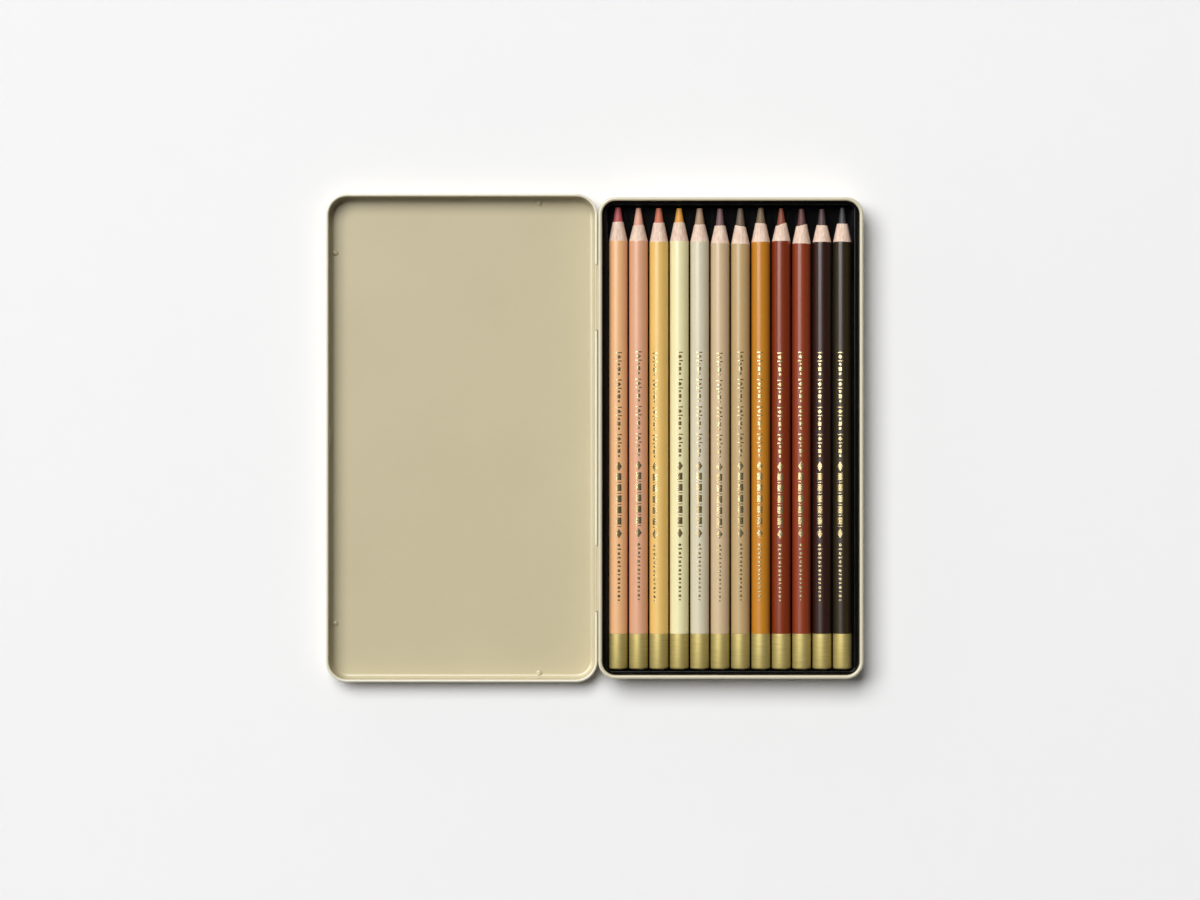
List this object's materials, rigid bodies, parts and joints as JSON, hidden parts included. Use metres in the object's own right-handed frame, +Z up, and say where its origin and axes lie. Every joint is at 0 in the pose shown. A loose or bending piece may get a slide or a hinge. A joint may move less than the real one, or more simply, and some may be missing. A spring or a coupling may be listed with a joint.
{
  "type": "hinged colour pencil tin",
  "caption": "Flat hinged tinplate box, lid folded open, with a formed plastic tray of round sharpened colour pencils that lift out.",
  "frame": {"origin": "middle of the open box's footprint, on the table", "axes": "+Z up, +Y the way the pencils point, -X towards the open lid, +X towards the base"},
  "size_m": [0.2062, 0.1876, 0.0115],
  "materials": {
    "tin_paint": "satin khaki enamel",
    "hinge_wire": "drawn wire",
    "tray_plastic": "black formed sheet",
    "end_cap_gold": "fine turned gold",
    "lacquer_01": "glossy lacquer over wood",
    "core_01": "waxy pigment core",
    "lacquer_02": "glossy lacquer over wood",
    "core_02": "waxy pigment core",
    "lacquer_03": "glossy lacquer over wood",
    "core_03": "waxy pigment core",
    "lacquer_04": "glossy lacquer over wood",
    "core_04": "waxy pigment core",
    "lacquer_05": "glossy lacquer over wood",
    "core_05": "waxy pigment core",
    "lacquer_06": "glossy lacquer over wood",
    "core_06": "waxy pigment core",
    "lacquer_07": "glossy lacquer over wood",
    "core_07": "waxy pigment core",
    "lacquer_08": "glossy lacquer over wood",
    "core_08": "waxy pigment core",
    "lacquer_09": "glossy lacquer over wood",
    "core_09": "waxy pigment core",
    "lacquer_10": "glossy lacquer over wood",
    "core_10": "waxy pigment core",
    "lacquer_11": "glossy lacquer over wood",
    "core_11": "waxy pigment core",
    "lacquer_12": "glossy lacquer over wood",
    "core_12": "waxy pigment core"
  },
  "bodies": {
    "base": {"base_tin": "tin_paint", "hinge_pin_upper": "hinge_wire", "hinge_pin_lower": "hinge_wire"},
    "lid": {"lid_tin": "tin_paint"},
    "tray": {"pencil_tray": "tray_plastic"},
    "pencil_01": {"pencil_01_casing": "lacquer_01", "pencil_01_core": "core_01", "pencil_01_end_cap": "end_cap_gold"},
    "pencil_02": {"pencil_02_casing": "lacquer_02", "pencil_02_core": "core_02", "pencil_02_end_cap": "end_cap_gold"},
    "pencil_03": {"pencil_03_casing": "lacquer_03", "pencil_03_core": "core_03", "pencil_03_end_cap": "end_cap_gold"},
    "pencil_04": {"pencil_04_casing": "lacquer_04", "pencil_04_core": "core_04", "pencil_04_end_cap": "end_cap_gold"},
    "pencil_05": {"pencil_05_casing": "lacquer_05", "pencil_05_core": "core_05", "pencil_05_end_cap": "end_cap_gold"},
    "pencil_06": {"pencil_06_casing": "lacquer_06", "pencil_06_core": "core_06", "pencil_06_end_cap": "end_cap_gold"},
    "pencil_07": {"pencil_07_casing": "lacquer_07", "pencil_07_core": "core_07", "pencil_07_end_cap": "end_cap_gold"},
    "pencil_08": {"pencil_08_casing": "lacquer_08", "pencil_08_core": "core_08", "pencil_08_end_cap": "end_cap_gold"},
    "pencil_09": {"pencil_09_casing": "lacquer_09", "pencil_09_core": "core_09", "pencil_09_end_cap": "end_cap_gold"},
    "pencil_10": {"pencil_10_casing": "lacquer_10", "pencil_10_core": "core_10", "pencil_10_end_cap": "end_cap_gold"},
    "pencil_11": {"pencil_11_casing": "lacquer_11", "pencil_11_core": "core_11", "pencil_11_end_cap": "end_cap_gold"},
    "pencil_12": {"pencil_12_casing": "lacquer_12", "pencil_12_core": "core_12", "pencil_12_end_cap": "end_cap_gold"}
  },
  "joints": [
    {"name": "lid_hinge", "type": "hinge", "parent": "base", "child": "lid", "pos_m": [0.00077, 0, 0.0065], "axis": [0, -1, 0], "range_deg": [-180, 0]},
    {"name": "tray_lift", "type": "slide", "parent": "base", "child": "tray", "axis": [0, 0, 1], "range_m": [0, 0.025]},
    {"name": "pencil_01_lift", "type": "slide", "parent": "tray", "child": "pencil_01", "axis": [0, 0, 1], "range_m": [0, 0.02]},
    {"name": "pencil_02_lift", "type": "slide", "parent": "tray", "child": "pencil_02", "axis": [0, 0, 1], "range_m": [0, 0.02]},
    {"name": "pencil_03_lift", "type": "slide", "parent": "tray", "child": "pencil_03", "axis": [0, 0, 1], "range_m": [0, 0.02]},
    {"name": "pencil_04_lift", "type": "slide", "parent": "tray", "child": "pencil_04", "axis": [0, 0, 1], "range_m": [0, 0.02]},
    {"name": "pencil_05_lift", "type": "slide", "parent": "tray", "child": "pencil_05", "axis": [0, 0, 1], "range_m": [0, 0.02]},
    {"name": "pencil_06_lift", "type": "slide", "parent": "tray", "child": "pencil_06", "axis": [0, 0, 1], "range_m": [0, 0.02]},
    {"name": "pencil_07_lift", "type": "slide", "parent": "tray", "child": "pencil_07", "axis": [0, 0, 1], "range_m": [0, 0.02]},
    {"name": "pencil_08_lift", "type": "slide", "parent": "tray", "child": "pencil_08", "axis": [0, 0, 1], "range_m": [0, 0.02]},
    {"name": "pencil_09_lift", "type": "slide", "parent": "tray", "child": "pencil_09", "axis": [0, 0, 1], "range_m": [0, 0.02]},
    {"name": "pencil_10_lift", "type": "slide", "parent": "tray", "child": "pencil_10", "axis": [0, 0, 1], "range_m": [0, 0.02]},
    {"name": "pencil_11_lift", "type": "slide", "parent": "tray", "child": "pencil_11", "axis": [0, 0, 1], "range_m": [0, 0.02]},
    {"name": "pencil_12_lift", "type": "slide", "parent": "tray", "child": "pencil_12", "axis": [0, 0, 1], "range_m": [0, 0.02]}
  ]
}
